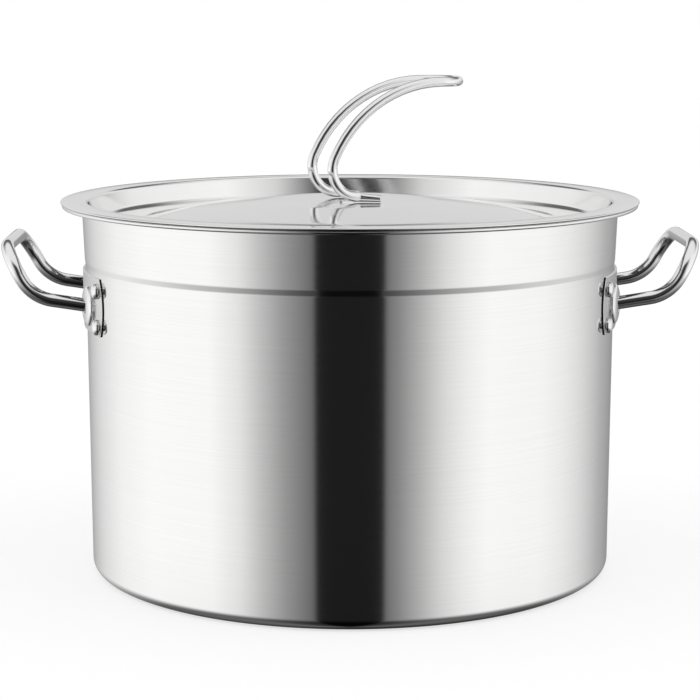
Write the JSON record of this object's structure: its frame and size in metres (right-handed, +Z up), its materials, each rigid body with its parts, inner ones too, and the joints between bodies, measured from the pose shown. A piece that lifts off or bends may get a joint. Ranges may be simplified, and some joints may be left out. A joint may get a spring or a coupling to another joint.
{
  "type": "stock pot",
  "caption": "Round steel stock pot with a sunken lid, a looped rod handle on the lid and a bent rod handle on a riveted bracket at each side.",
  "frame": {"origin": "centre of the pot's base, on the bench", "axes": "+Z up along the pot's axis; +X toward the right side handle, so the two side handles lie on the X axis; -Y is the front"},
  "size_m": [0.416, 0.3488, 0.2981],
  "materials": {
    "wall_steel": "satin polished stainless steel",
    "lid_steel": "satin polished stainless steel with fine turned lines",
    "bracket_steel": "satin stainless steel plate",
    "polished_steel": "mirror polished stainless steel"
  },
  "bodies": {
    "pot": {"pot_shell": "wall_steel", "right_bracket": "bracket_steel", "right_handle": "polished_steel", "right_boss_front": "polished_steel", "right_boss_rear": "polished_steel", "right_rivet_front_upper": "polished_steel", "right_rivet_front_lower": "polished_steel", "right_rivet_rear_upper": "polished_steel", "right_rivet_rear_lower": "polished_steel", "left_bracket": "bracket_steel", "left_handle": "polished_steel", "left_boss_front": "polished_steel", "left_boss_rear": "polished_steel", "left_rivet_front_upper": "polished_steel", "left_rivet_front_lower": "polished_steel", "left_rivet_rear_upper": "polished_steel", "left_rivet_rear_lower": "polished_steel"},
    "lid": {"lid_pan": "lid_steel", "lid_handle": "polished_steel"}
  },
  "joints": [
    {"name": "lid_lift", "type": "slide", "parent": "pot", "child": "lid", "axis": [0, 0, 1], "range_m": [0, 0.15]}
  ]
}
